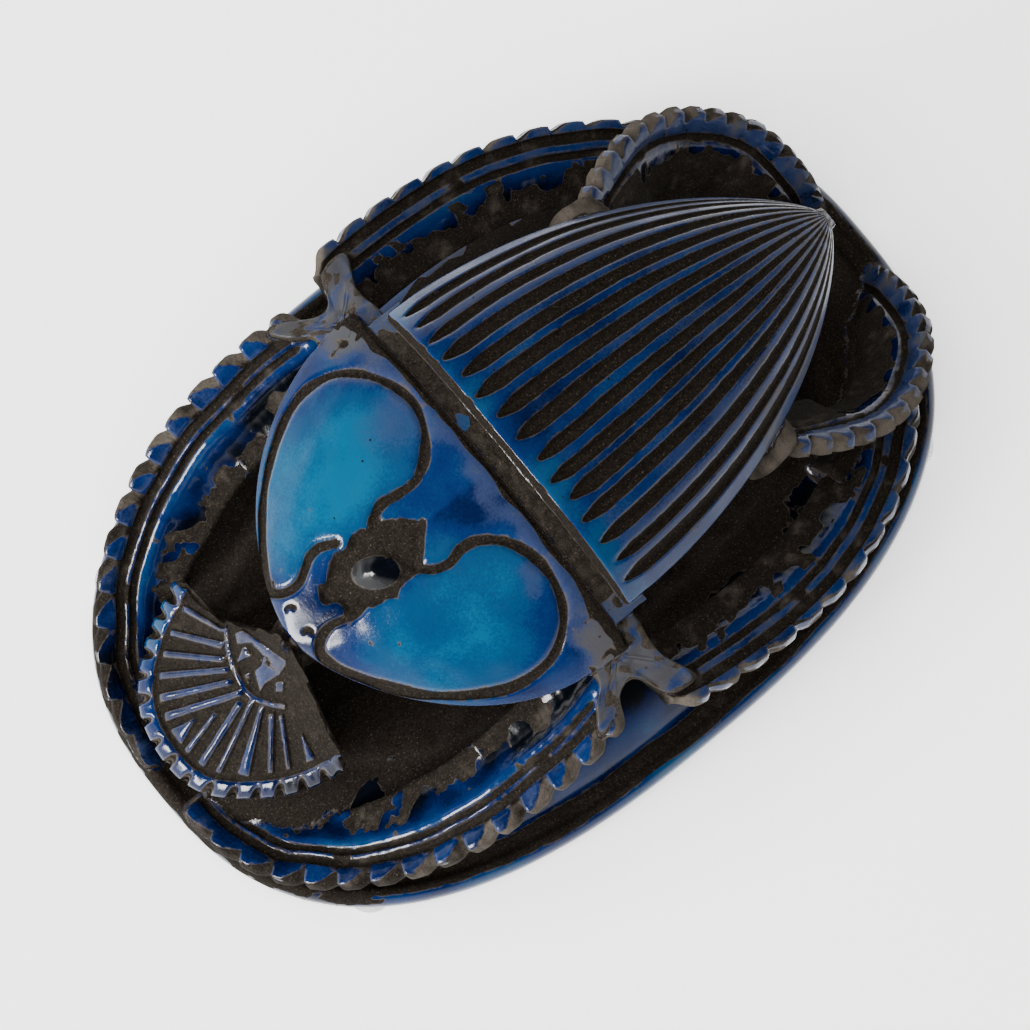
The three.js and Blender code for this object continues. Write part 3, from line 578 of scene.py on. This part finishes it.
def legShape(name, leg, side):
    # a band swept along its outer edge: path + w across + h face, the section leaning down towards the inside
    front = leg is frontLeg
    length = curveThrough(leg["points"], 10)[1]
    scallops = round(length / leg["pitch"])
    steps = scallops * leg["stepsPerScallop"]
    path = curveThrough(leg["points"], steps + 1)[0]
    along = unit(np.gradient(path, axis=0))
    inward = unit(np.cross(along, (0, 0, 1)))
    inward[np.sum(inward[:, :2] * path[:, :2], axis=1) > 0] *= -1
    normal = np.cross(along, inward)
    normal[normal[:, 2] < 0] *= -1
    t = np.linspace(0, 1, steps + 1)[:, None]
    lean = np.radians(mix(leg["lean"][0], leg["lean"][1], np.clip((t - 0.45) / 0.5, 0, 1)))
    across = inward * np.cos(lean) - normal * np.sin(lean)
    face = normal * np.cos(lean) + inward * np.sin(lean)
    narrowing = np.clip((t - leg["narrowFrom"]) / (1 - leg["narrowFrom"]), 0, 1)
    wide = leg["width"] * mix(1, leg["narrowTo"], narrowing)
    place = t * scallops
    phase = place - np.floor(place + 1e-9)  # 0 where a gouged notch steps in, rising along one lobe
    vary = 1 + 0.22 * scatter(np.floor(place + 1e-9), 2.2 + side)
    again = smoothStep(0.9, 1.0, phase)
    bite = leg["scallop"] * vary * np.maximum(1 - smoothStep(0, 0.5, phase), again)
    bite = bite + leg["startBite"] * (1 - smoothStep(0, 5, t * length))
    facet = leg["facet"] * vary * np.maximum(np.clip(1 - phase / 0.66, 0, 1) ** 0.75, again)
    small = mix(1.0, 0.45, smoothStep(0.7, 0.95, t)) if front else 1.0  # lobes fade towards the tip
    bite, facet = bite * small, facet * small
    seed = leg["seed"]
    fixed = [0, 0.35, 0.7, 1.1, 1.5, 1.9]  # columns stand closer at the edge and round each groove
    for centre, half in leg["grooves"]:
        fixed += [centre + half * k for k in (-1.25, -0.85, -0.4, 0.3, 0.8, 1.2)]
    fixed = np.array(sorted(fixed + [leg["grooves"][-1][0] + 2.2]))
    w = np.concatenate([fixed[None] + 0 * t, mix(fixed[-1], wide, np.linspace(0, 1, 10)[1:][None])], axis=1)
    count = w.shape[1]
    w = np.where(w < 6, bite + w * (1 - bite / 6), w)
    near = w - bite
    h = -0.5 * (1 - smoothStep(0, 0.9, near)) - 0.8 * np.clip(facet - near, 0, 9)
    sway = 0.22 * waves(path[:, None] + np.zeros(3), 18, seed + 5)
    bare = facet - near
    for centre, half in leg["grooves"]:
        offset = np.abs(w - centre - sway)
        starts = smoothStep(0.015, 0.05, t) if front else 1.0
        h = h - 1.2 * (1 - smoothStep(half * 0.55, half * 1.15, offset)) * starts
        bare = np.maximum(bare, half * 0.95 - offset - 2 * (1 - starts))
    lower = [  # from the inner edge back to the outer one
        (wide - 0.1, -0.9), (wide - 1.2, -2.4), (wide - 3, -legThick), (wide * 0.6, -legThick),
        (wide * 0.3, -legThick), (bite + 0.8, -legThick), (bite + 0.1, -legThick + 0.5),
        (bite - 0.02, np.minimum(-2.3, -0.8 * facet - 0.7)),
        (bite - 0.01, np.minimum(-1.3, -0.8 * facet - 0.5))]
    wLower = np.concatenate([a + 0 * t for a, _ in lower], axis=1)
    hLower = np.concatenate([b + 0 * t for _, b in lower], axis=1)
    wAll = np.concatenate([w, wLower], axis=1)
    fromGrooves = np.clip((wAll - fixed[-1]) / (wide - fixed[-1]), 0, 1)
    hollow = leg["dish"] * (0.3 + 0.7 * (1 - t) ** 2)
    hAll = np.concatenate([h, hLower], axis=1) - hollow * np.sin(math.pi * fromGrooves)
    rings = path[:, None] + across[:, None] * wAll[..., None] + face[:, None] * hAll[..., None]
    ragged = waves(rings, 7, seed) * 1.3 + waves(rings, 2.4, seed + 1) * 0.7
    fade = (w - leg["glazedTo"] * (wide / leg["width"])) * 0.7 + ragged[:, :count] * 1.5
    fade = fade - 6 * (1 - smoothStep(0.04, 0.16, t)) * front
    broken = waves(rings[:, :count] * (1, 1, 0), 6, seed + 7) - 1.25
    broken = broken + 0.8 * (1 - smoothStep(0.05, 0.2, t)) * (not front)
    bareAll = np.full(rings.shape[:2], 1.2)
    beyond = np.where(w > fixed[-2], fade, np.where(w > leg["grooves"][0][0], broken, -9))
    bareAll[:, :count] = np.maximum(bare, beyond)
    for column, bias in ((-1, 0.1), (-2, 0.3), (-3, 0.7)):
        edge = np.maximum(facet[:, 0] - 0.6, -0.5) + bias + 0.7 * front
        bareAll[:, column] = edge + 0.25 * ragged[:, column]
    uneven = 0.13 * waves(rings, 9, seed + 2) + 0.05 * waves(rings, 2.2, seed + 9)
    rings = rings + uneven[..., None] * face[:, None]
    near = np.concatenate([near, wLower * 0 + 9], axis=1)
    near[:, -3:] = 0
    inside = smoothStep(fixed[-2], fixed[-2] + 5, wAll)
    tone = np.where(wAll > leg["grooves"][-1][0], mix(*leg["innerTone"], inside), leg["landTone"])
    tone = tone + 0.2 * waves(rings, 6, seed + 3) * inside + 0.14 * waves(rings, 15, seed + 4)
    blotches = 0.9 * smoothStep(0.8, 1.5, waves(rings, 5, seed + 8))
    tone = tone - (blotches + 1.1 * smoothStep(0.3, 0.1, t) * front) * inside
    tone = tone - 0.45 * smoothStep(0.6, 0.85, t) * front * (side < 0)
    atStart = 1 - smoothStep(0.0, 0.07, t)
    filmAndSheen = np.where(wAll < leg["grooves"][-1][0], leg["landFilm"], 0.05)
    filmAndSheen = filmAndSheen + 0.75 * atStart * (wAll < 6) + 0.15 * ragged
    dust = np.where(near < leg["facet"], mix(0.8, 0.35, smoothStep(0.35, 0.6, t)), 0.18) + 0.15 * ragged
    rings = rings * (1, side, 1)
    return loft(name, rings, bareAll, tone, filmAndSheen, dust)


bars = {
    "neck": [(44, -1.5, 55.5, 5.5), (50, -1.5, 51.5, 5.5), (56, -1.5, 44.5, 4)],
    "knee": [(-36, 12, 62, 5), (-38, 22, 60, 6.2), (-39, 29, 57, 6.4)],
    "around": 28,
}


def barShape(name, points, side, dust):
    # round bar of clay through points that each carry a radius: middle + radius (cos, sin) in the cross plane
    path = curveThrough(points, 18)[0]
    middle, radius = path[:, :3], path[:, 3]
    along = unit(np.gradient(middle, axis=0))
    sideways = unit(np.cross(along, (0, 0, 1)))
    other = np.cross(sideways, along)
    angle = np.linspace(0, 2 * math.pi, bars["around"], endpoint=False)[None, :, None]
    around = sideways[:, None] * np.cos(angle) + other[:, None] * np.sin(angle)
    rings = middle[:, None] + radius[:, None, None] * around
    rings = rings + 0.3 * waves(rings, 5, 71)[..., None] * other[:, None]
    rings = rings * (1, side, 1)
    return loft(name, rings, 1.0 + 0.3 * waves(rings, 5, 72), 0.1, 0.5, dust + 0.2 * waves(rings, 4, 73))


cornerWeb = {
    "outline": [
        (1.5, 31), (14.5, 31), (15, 38), (14.5, 42), (18, 45.5), (20, 49.5), (16.5, 49), (13, 46.2),
        (10.2, 44.8), (8.2, 45.4), (6.6, 48), (5, 51.5), (-1, 52), (2, 44), (1.5, 37)],
    "middle": (9.0, 40.0), "z": (67.7, 59.8), "slopeFrom": 36.5, "slopeTo": 51,
    # share of the way from the middle to the outline, and millimetres below the top
    "profile": [
        (0.06, 0), (0.25, 0), (0.42, 0), (0.56, 0), (0.68, 0), (0.78, 0), (0.86, 0), (0.92, 0.05),
        (0.96, 0.25), (0.99, 0.6), (1.0, 1.2), (1.0, 2.6), (0.97, 3.7), (0.9, 4.5), (0.6, 4.5),
        (0.3, 4.5), (0.06, 4.5)],
}


def cornerWebShape(side):
    # slanting sheet of clay at the plate's rear corner: rings shrunk towards its middle, above and below
    line = curveThrough(cornerWeb["outline"], 110, closed=True)[0][:-1]
    cx, cy = cornerWeb["middle"]
    shares, drops = np.array(cornerWeb["profile"]).T
    x = cx + (line[None, :, 0] - cx) * shares[:, None]
    y = cy + (line[None, :, 1] - cy) * shares[:, None]
    z = mix(*cornerWeb["z"], smoothStep(cornerWeb["slopeFrom"], cornerWeb["slopeTo"], y)) - drops[:, None]
    rings = grid(x, y, z)
    rings[..., 2] += 0.3 * waves(rings, 6, 96) + 0.12 * waves(rings, 2, 97)
    rings = rings * (1, side, 1)
    share = shares[:, None] + 0 * x
    above = (drops < 0.9)[:, None]
    speckled = 0.75 * waves(rings, 4, 98) + 0.5 * waves(rings, 1.8, 95) - 0.45
    bare = np.where(above, speckled + 2.2 * smoothStep(0.93, 1.0, share), 1.0)
    tone = 0.35 + 0.3 * waves(rings, 8, 99)
    filmAndSheen = 1.12 + 0.3 * waves(rings, 4, 90)
    return loft("cornerWeb", rings, bare, tone, filmAndSheen, 0.6)


web = {"x": (-50, -76), "y": (37, 19), "top": (31, 21), "foot": 14}


def webShape(side):
    # wall under the rear of the middle leg, down to the base, 4 mm thick on top and wider below
    t = np.linspace(0, 1, 26)[:, None]
    x = mix(*web["x"], t)
    y = mix(*web["y"], t ** 1.6)
    top = mix(*web["top"], t)
    down = np.linspace(0, 1, 8)[None]
    up = down[:, ::-1]
    outer = grid(x + 2 * down, y + 2 - 4 * down ** 1.5, mix(top, web["foot"], down))
    inner = grid(x + 2 * up, y - 2 - 6 * up ** 1.5, mix(top, web["foot"], up))
    rings = np.concatenate([outer, inner], axis=1)
    rings = rings + 0.4 * waves(rings, 7, 81)[..., None]
    rings = rings * (1, side, 1)
    return loft("web", rings, 1.0, 0.0, 0.0, 0.1)


def unionOf(objects):
    # one closed solid out of all the overlapping forms
    first = objects[0]
    for other in objects[1:]:
        joined = first.modifiers.new("join", "BOOLEAN")
        joined.operation = "UNION"
        joined.solver = "MANIFOLD"
        joined.object = other
        bpy.context.view_layer.update()
        graph = bpy.context.evaluated_depsgraph_get()
        mesh = bpy.data.meshes.new_from_object(first.evaluated_get(graph))
        first.modifiers.clear()
        old = first.data
        first.data = mesh
        bpy.data.meshes.remove(old)
        bpy.data.objects.remove(other)
    return first


def readPoints(mesh):
    points = np.empty(len(mesh.vertices) * 3)
    mesh.vertices.foreach_get("co", points)
    return points.reshape(-1, 3) / mm


def gapsTo(points, targets):
    # how far each point lies from the nearest of the targets
    tree = KDTree(len(targets))
    for i, p in enumerate(targets):
        tree.insert(p, i)
    tree.balance()
    return np.array([tree.find(p)[2] for p in points])


fillet = {
    "reach": 2.2, "rounds": 12,  # millimetres of softening each side of a join, and how often
    "keepBelow": 2.3, "fullAbove": 3.2,  # the underside stays flat
    "newPoint": 0.002,  # a vertex this far from every form's own vertices lies on a join
}


def softenJoins(mesh, sources):
    # vertices that no form had before the union lie on its joins: near them every point moves half way
    # to the mean of its neighbours, times its weight, in each round
    points = readPoints(mesh)
    seam = points[gapsTo(points, sources) > fillet["newPoint"]]
    near = gapsTo(points, seam)
    weight = 1 - smoothStep(0.4, fillet["reach"], near)
    weight *= smoothStep(fillet["keepBelow"], fillet["fullAbove"], points[:, 2])
    edges = np.empty(len(mesh.edges) * 2, int)
    mesh.edges.foreach_get("vertices", edges)
    a, b = edges.reshape(-1, 2).T
    degree = np.bincount(np.concatenate([a, b]), minlength=len(points))[:, None]
    for _ in range(fillet["rounds"]):
        total = np.zeros_like(points)
        np.add.at(total, a, points[b])
        np.add.at(total, b, points[a])
        points += 0.5 * weight[:, None] * (total / degree - points)
    mesh.vertices.foreach_set("co", (points * mm).ravel())
    mesh.update()


def shadeSmooth(made):
    made.data.polygons.foreach_set("use_smooth", [True] * len(made.data.polygons))


def buildScarab():
    forms = [baseShape(), backShape(), plateShape(), recessShape()]
    forms += [barShape("neck", bars["neck"], 1, 0.3), headShape()]
    for side in (1, -1):
        for name, leg in (("frontLeg", frontLeg), ("middleLeg", middleLeg), ("hindLeg", hindLeg)):
            forms.append(legShape(name, leg, side))
        forms += [cornerWebShape(side), barShape("knee", bars["knee"], side, 0.7), webShape(side)]
    for form in forms:
        print(form.name, "faces", len(form.data.polygons))
    sources = np.vstack([readPoints(form.data) for form in forms])
    made = unionOf(forms)
    made.name = made.data.name = "scarab_clay"
    print("scarab triangles", sum(len(p.vertices) - 2 for p in made.data.polygons))
    softenJoins(made.data, sources)
    shadeSmooth(made)
    return made


pad = {
    "x": 69.5, "y": 39.5, "around": 56,
    # radius and height down one side
    "profile": [
        (0.02, 2), (2.6, 2), (4.6, 2), (4.85, 1.93), (4.9, 1.75), (4.82, 1.35), (4.6, 0.85),
        (4.25, 0.38), (3.85, 0.1), (3.4, 0), (2.0, 0), (0.02, 0)],
}


def buildPads():
    # low clear domes: the profile turned about an upright axis
    angle = np.linspace(0, 2 * math.pi, pad["around"], endpoint=False)[None]
    radius, height = np.array(pad["profile"]).T[..., None]
    made = {}
    for name, alongSide, acrossSide in (
            ("front_left", 1, 1), ("front_right", 1, -1), ("rear_left", -1, 1), ("rear_right", -1, -1)):
        x = alongSide * pad["x"] + radius * np.cos(angle)
        y = acrossSide * pad["y"] + radius * np.sin(angle)
        rings = grid(x, y, height)
        made[name] = loft("clear_pad_" + name, rings, 0.0, 0.0, 0.0, 0.0)
        shadeSmooth(made[name])
    return made


class Wire:
    # one value in a material; arithmetic on it adds Math nodes
    def __init__(self, graph, socket):
        self.graph = graph
        self.socket = socket

    def math(self, operation, first, second):
        return self.graph.node("ShaderNodeMath", {"operation": operation}, {0: first, 1: second})

    def __add__(self, other):
        return self.math("ADD", self, other)

    __radd__ = __add__

    def __sub__(self, other):
        return self.math("SUBTRACT", self, other)

    def __rsub__(self, other):
        return self.math("SUBTRACT", other, self)

    def __mul__(self, other):
        return self.math("MULTIPLY", self, other)

    __rmul__ = __mul__

    def over(self, low, high, first=0.0, last=1.0):
        # smooth step from first at low to last at high
        values = {0: self, 1: low, 2: high, 3: first, 4: last}
        return self.graph.node("ShaderNodeMapRange", {"interpolation_type": "SMOOTHSTEP"}, values)


class Graph:
    # the node tree of one material or of the world
    def __init__(self, owner):
        owner.use_nodes = True
        self.owner = owner
        self.tree = owner.node_tree

    def node(self, kind, settings, values, output=0):
        made = self.tree.nodes.new(kind)
        for key, value in settings.items():
            setattr(made, key, value)
        for key, value in values.items():
            self.put(made.inputs[key], value)
        return Wire(self, made.outputs[output])

    def put(self, socket, value):
        if isinstance(value, Wire):
            self.tree.links.new(value.socket, socket)
        else:
            socket.default_value = value

    def mark(self, name):
        return self.node("ShaderNodeAttribute", {"attribute_name": name}, {}, "Fac")

    def place(self):
        # where the point lies on the piece, in millimetres
        coordinates = self.node("ShaderNodeTexCoord", {}, {}, "Object")
        return self.node("ShaderNodeVectorMath", {"operation": "SCALE"}, {0: coordinates, "Scale": 1000.0})

    def noise(self, place, size, detail=2.0, roughness=0.5):
        values = {"Vector": place, "Scale": 1 / size, "Detail": detail, "Roughness": roughness}
        return self.node("ShaderNodeTexNoise", {}, values)

    def blend(self, amount, low, high):
        return self.node("ShaderNodeMix", {"data_type": "RGBA"}, {0: amount, 6: low, 7: high}, 2)

    def finish(self, values, height=None):
        # height in millimetres
        sockets = self.tree.nodes["Principled BSDF"].inputs
        if height is not None:
            bump = {"Strength": 1.0, "Distance": mm, "Height": height}
            values["Normal"] = self.node("ShaderNodeBump", {}, bump)
        for key, value in values.items():
            self.put(sockets[key], value)
        return self.owner


def colour(red, green, blue):
    return (red, green, blue, 1.0)


glazing = {
    "black": (0.0006, 0.001, 0.002), "ink": (0.0002, 0.003, 0.02), "cobalt": (0.0002, 0.0085, 0.046),
    "blue": (0.0002, 0.024, 0.066), "turquoise": (0.0015, 0.049, 0.1),
    # bloom and greyBloom colour the film: real grey bloom, and painted sheen where the glaze would mirror the
    # walls
    "bloom": (0.013, 0.021, 0.055), "greyBloom": (0.036, 0.035, 0.036), "pit": (0.003, 0.0025, 0.002),
    "clay": (0.0045, 0.0034, 0.0026), "grains": (0.0105, 0.0085, 0.0065), "dusty": (0.052, 0.044, 0.036),
    "specks": (0.06, 0.048, 0.034), "torn": (0.048, 0.038, 0.028),
    "bareRoughness": 0.9, "glossiness": 0.74, "coat": 0.3, "coatRoughness": 0.13,
    "glazeThickness": 0.14,  # millimetres the glaze stands above the clay
}


def glazedClay():
    graph = Graph(bpy.data.materials.new("glazed_clay"))
    tint = {name: colour(*value) for name, value in glazing.items() if isinstance(value, tuple)}
    place = graph.place()
    grain = graph.noise(place, 0.5, 3)
    lumps = graph.noise(place, 1.9, 4, 0.6)
    clouds = graph.noise(place, 9, 3)
    dust = graph.mark("dust")
    bare = graph.mark("bare") + (lumps - 0.5) * 0.5 + (grain - 0.5) * 0.25
    bareness = bare.over(-0.06, 0.08)
    # glaze from black through cobalt and blue to turquoise, then a grey-lavender bloom over it:
    # real bloom of thin glaze in places, painted sheen of reflections on slopes in others
    tone = graph.mark("tone") + (clouds - 0.5) * 0.6 + (lumps - 0.5) * 0.25 + (grain - 0.5) * 0.5
    glaze = graph.blend(tone.over(-0.45, 0.05), tint["black"], tint["ink"])
    glaze = graph.blend(tone.over(0.0, 0.4), glaze, tint["cobalt"])
    glaze = graph.blend(tone.over(0.35, 0.8), glaze, tint["blue"])
    glaze = graph.blend(tone.over(0.8, 1.25), glaze, tint["turquoise"])
    filmAndSheen = graph.mark("filmAndSheen") + (lumps - 0.5) * 0.2 + (clouds - 0.5) * 0.4 + (grain - 0.5) * 0.5
    bloom = graph.blend(filmAndSheen.over(0.75, 1.2), tint["bloom"], tint["greyBloom"])
    glaze = graph.blend(filmAndSheen.over(0.15, 0.95) * 0.9, glaze, bloom)
    # pinholes
    cells = graph.node("ShaderNodeTexVoronoi", {}, {"Vector": place, "Scale": 1 / 3.4}, "Distance")
    pits = (1 - cells.over(0.045, 0.085)) * clouds.over(0.5, 0.6)
    glaze = graph.blend(pits, glaze, tint["pit"])
    # clay: dark umber with paler grains, tan where it is broken or dusty and along the torn edge of the glaze
    clay = graph.blend(grain.over(0.3, 0.75), tint["clay"], tint["grains"])
    clay = graph.blend((dust + (lumps - 0.5) * 0.7).over(0.2, 1.1), clay, tint["dusty"])
    specks = graph.noise(place, 0.28, 1)
    clay = graph.blend(specks.over(0.64, 0.74) * 0.7, clay, tint["specks"])
    torn = bare.over(-0.3, -0.1) * (1 - bare.over(0.02, 0.16)) * lumps.over(0.35, 0.6)
    surface = graph.blend(bareness, glaze, clay)
    surface = graph.blend(torn * 0.6, surface, tint["torn"])
    shine = (1 - bareness) * (1 - filmAndSheen.over(0.3, 1.0) * 0.6)
    roughness = glazing["bareRoughness"] - shine * glazing["glossiness"] + (grain - 0.5) * 0.14
    rough = (grain - 0.5) * 0.14 + (lumps - 0.5) * (0.25 + dust * 0.6)
    height = (1 - bareness) * glazing["glazeThickness"] + bareness * rough - pits * 0.25
    height = height + (1 - bareness) * ((grain - 0.5) * 0.05 + (lumps - 0.5) * 0.06)
    return graph.finish({
        "Base Color": surface, "Roughness": roughness, "Coat Weight": shine * glazing["coat"],
        "Coat Roughness": glazing["coatRoughness"], "Coat IOR": 1.5, "Specular IOR Level": 0.05,
    }, height)


def clearPad():
    graph = Graph(bpy.data.materials.new("clear_pad"))
    place = graph.place()
    haze = graph.noise(place, 2.5, 3)
    specks = graph.noise(place, 0.3, 2)
    tint = graph.blend(haze, colour(0.93, 0.94, 0.92), colour(0.8, 0.82, 0.8))
    return graph.finish({
        "Base Color": graph.blend(specks.over(0.62, 0.75), tint, colour(0.55, 0.54, 0.5)),
        "Roughness": 0.18 + haze * 0.2, "Transmission Weight": 0.85, "IOR": 1.45,
    }, (haze - 0.5) * 0.08)


def paleFloor():
    graph = Graph(bpy.data.materials.new("floor"))
    place = graph.place()
    shade = graph.noise(place, 240, 2)
    low, high = (colour(*(c * k for c in light["floor"])) for k in (0.99, 1.01))
    return graph.finish({
        "Base Color": graph.blend(shade, low, high), "Roughness": 0.9, "Specular IOR Level": 0.1,
        "Emission Color": colour(*light["floor"]), "Emission Strength": light["floorGlow"],
    })


def dress(made, material):
    made.data.materials.clear()
    made.data.materials.append(material)


camera = {
    "azimuth": 140.6, "elevation": 81.0,  # where the photo's view from above was taken from
    "distance": 900.0,
    "millimetresWide": 206.0,  # how much of the table the picture spans at the object
}


def buildCamera():
    data = bpy.data.cameras.new("camera")
    made = bpy.data.objects.new("camera", data)
    scene.collection.objects.link(made)
    azimuth, elevation = math.radians(camera["azimuth"]), math.radians(camera["elevation"])
    level = math.cos(elevation)
    backward = Vector((math.sin(azimuth) * level, -math.cos(azimuth) * level, math.sin(elevation)))
    made.location = backward * camera["distance"] * mm
    made.rotation_euler = backward.to_track_quat("Z", "Y").to_euler()
    data.sensor_width = 36
    data.lens = 36 * camera["distance"] / camera["millimetresWide"]
    data.clip_start = 0.01
    data.clip_end = 20
    scene.camera = made


light = {
    # pale walls round the table, from foot to top as the sine of the elevation, and dark above
    "walls": 2.6, "wallFoot": 0.02, "wallTop": 0.42, "overhead": 0.1,
    "key": (2500.0, -310.0, 620.0), "keySize": (900.0, 720.0), "keyPower": 165.0,
    "fill": (700.0, -100.0, 2200.0), "fillSize": (2600.0, 2600.0), "fillPower": 165.0,  # diffuse light only
    "floor": (0.93, 0.93, 0.93), "floorSize": 9000.0, "floorGlow": 0.9,
}


def buildStudio():
    world = bpy.data.worlds.new("studio")
    scene.world = world
    graph = Graph(world)
    ways = graph.node("ShaderNodeTexCoord", {}, {}, "Generated")
    upward = graph.node("ShaderNodeSeparateXYZ", {}, {0: ways}, "Z")
    strength = upward.over(light["wallFoot"], light["wallTop"], light["walls"], light["overhead"])
    background = graph.tree.nodes["Background"].inputs
    graph.put(background["Strength"], strength)
    graph.put(background["Color"], colour(1.0, 1.0, 1.0))
    for name in ("key", "fill"):
        data = bpy.data.lights.new(name, "AREA")
        data.shape = "RECTANGLE"
        data.size, data.size_y = (size * mm for size in light[name + "Size"])
        data.energy = light[name + "Power"]
        made = bpy.data.objects.new(name, data)
        scene.collection.objects.link(made)
        made.location = Vector(light[name]) * mm
        made.rotation_euler = made.location.to_track_quat("Z", "Y").to_euler()
        if name == "fill":
            data.specular_factor = 0
            made.visible_glossy = False
    half = light["floorSize"] / 2 * mm
    mesh = bpy.data.meshes.new("floor")
    corners = [(-half, -half, 0), (half, -half, 0), (half, half, 0), (-half, half, 0)]
    mesh.from_pydata(corners, [], [(0, 1, 2, 3)])
    floor = bpy.data.objects.new("floor", mesh)
    scene.collection.objects.link(floor)
    dress(floor, paleFloor())


buildCamera()
scarab = buildScarab()
dress(scarab, glazedClay())
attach(scarab, "root")
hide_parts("scarab")
print("scarab done")
clear = clearPad()
for name, made in buildPads().items():
    dress(made, clear)
    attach(made, "root")
    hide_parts("pad_" + name)
print("pads done")
buildStudio()
print("studio done")
